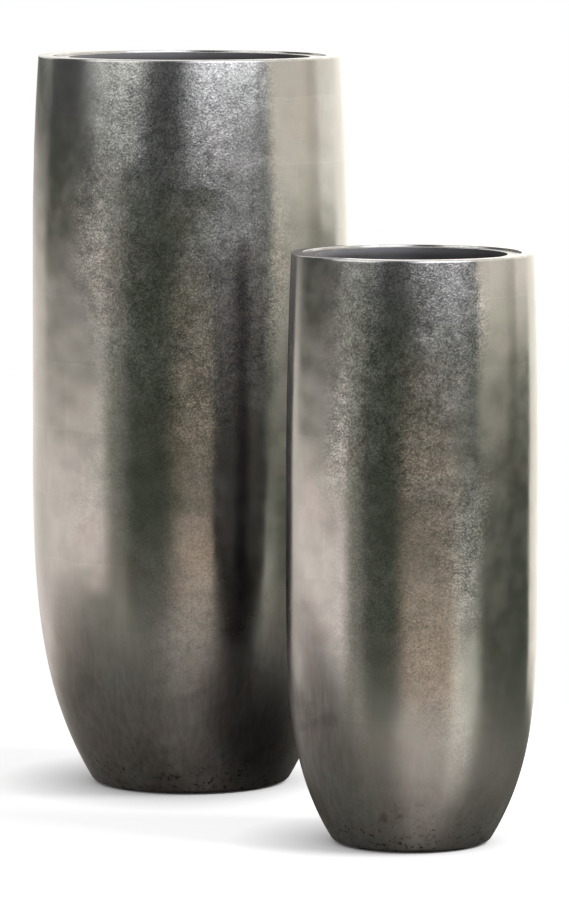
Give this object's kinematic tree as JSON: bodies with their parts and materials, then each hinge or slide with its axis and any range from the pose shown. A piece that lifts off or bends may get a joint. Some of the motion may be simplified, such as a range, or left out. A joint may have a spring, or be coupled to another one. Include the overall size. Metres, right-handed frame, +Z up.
{
  "type": "floor planter",
  "caption": "Tall round floor planters in silver leaf, barrel-shaped and narrow at the foot, each with a stepped lip, a lift-out liner with wire handles and a plugged drain.",
  "frame": {"origin": "on the floor, at the middle of the rectangle that the pair takes up", "axes": "+Z up; the short planter stands to the +X side of the tall one and in front of it, towards -Y"},
  "size_m": [0.659, 0.857, 0.98],
  "materials": {
    "silver_leaf": "aged silver leaf over moulded composite, satin metallic",
    "ring_resin": "matte",
    "liner_grey": "satin metallic grey",
    "handle_wire": "satin",
    "bush_plastic": "matte",
    "plug_rubber": "matte",
    "foot_felt": "felt"
  },
  "bodies": {
    "tall_planter": {"tall_shell": "silver_leaf", "tall_seat_ring": "ring_resin", "tall_drain_bush": "bush_plastic", "tall_feet": "foot_felt"},
    "tall_liner": {"tall_liner": "liner_grey"},
    "tall_handle_left": {"tall_handle_left": "handle_wire"},
    "tall_handle_right": {"tall_handle_right": "handle_wire"},
    "tall_plug": {"tall_drain_plug": "plug_rubber"},
    "short_planter": {"short_shell": "silver_leaf", "short_seat_ring": "ring_resin", "short_drain_bush": "bush_plastic", "short_feet": "foot_felt"},
    "short_liner": {"short_liner": "liner_grey"},
    "short_handle_left": {"short_handle_left": "handle_wire"},
    "short_handle_right": {"short_handle_right": "handle_wire"},
    "short_plug": {"short_drain_plug": "plug_rubber"}
  },
  "joints": [
    {"name": "tall_liner_lift", "type": "slide", "parent": "tall_planter", "child": "tall_liner", "axis": [0, 0, 1], "range_m": [0, 0.4]},
    {"name": "tall_handle_left_swing", "type": "hinge", "parent": "tall_liner", "child": "tall_handle_left", "pos_m": [-0.25246, 0.2165, 0.9455], "axis": [0, -1, 0], "range_deg": [0, 175]},
    {"name": "tall_handle_right_swing", "type": "hinge", "parent": "tall_liner", "child": "tall_handle_right", "pos_m": [0.01746, 0.2165, 0.9455], "axis": [0, 1, 0], "range_deg": [0, 175]},
    {"name": "tall_plug_pull", "type": "slide", "parent": "tall_planter", "child": "tall_plug", "axis": [0, 0, 1], "range_m": [0, 0.06]},
    {"name": "short_planter_stand", "type": "slide", "parent": "tall_planter", "child": "short_planter", "axis": [0.5098, -0.8603, 0], "range_m": [0, 0.4]},
    {"name": "short_liner_lift", "type": "slide", "parent": "short_planter", "child": "short_liner", "axis": [0, 0, 1], "range_m": [0, 0.32]},
    {"name": "short_handle_left_swing", "type": "hinge", "parent": "short_liner", "child": "short_handle_left", "pos_m": [0.07548, -0.2695, 0.7155], "axis": [0, -1, 0], "range_deg": [0, 175]},
    {"name": "short_handle_right_swing", "type": "hinge", "parent": "short_liner", "child": "short_handle_right", "pos_m": [0.26552, -0.2695, 0.7155], "axis": [0, 1, 0], "range_deg": [0, 175]},
    {"name": "short_plug_pull", "type": "slide", "parent": "short_planter", "child": "short_plug", "axis": [0, 0, 1], "range_m": [0, 0.06]}
  ]
}
